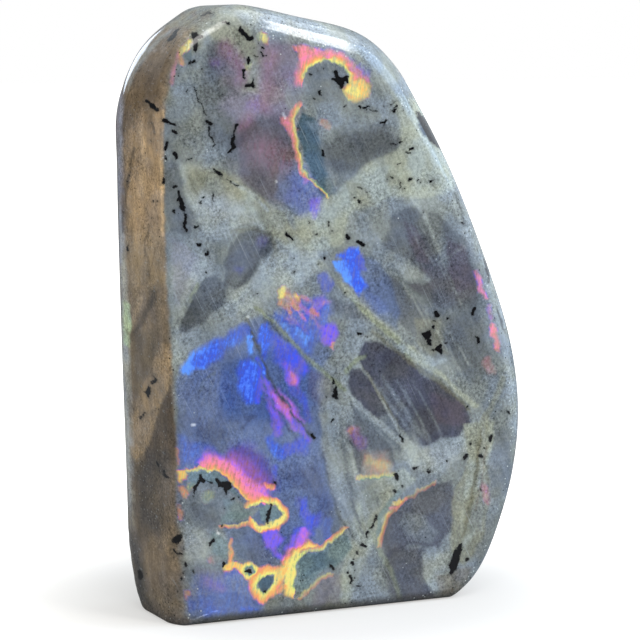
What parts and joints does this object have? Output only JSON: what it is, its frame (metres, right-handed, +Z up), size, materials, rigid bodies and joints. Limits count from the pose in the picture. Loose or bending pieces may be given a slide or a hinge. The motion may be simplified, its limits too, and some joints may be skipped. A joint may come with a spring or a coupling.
{
  "type": "polished labradorite freeform",
  "caption": "Free-standing polished stone freeform with a flat show face, a rounded top and right rim, a crisp left arris and a sawn flat base.",
  "frame": {"origin": "on the plane the sawn base rests on, under the centre of the stone's bounding box", "axes": "+Z up along the stone's longest extent, -Y out of the show face across the shortest extent, +X to the right as the show face is seen"},
  "size_m": [0.0816, 0.0304, 0.12],
  "materials": {
    "polished_labradorite": "polished grey-green feldspar with blue, violet and gold flash, black mineral inclusions and pale healed cracks"
  },
  "bodies": {
    "root": {"labradorite_stone": "polished_labradorite"}
  },
  "joints": []
}
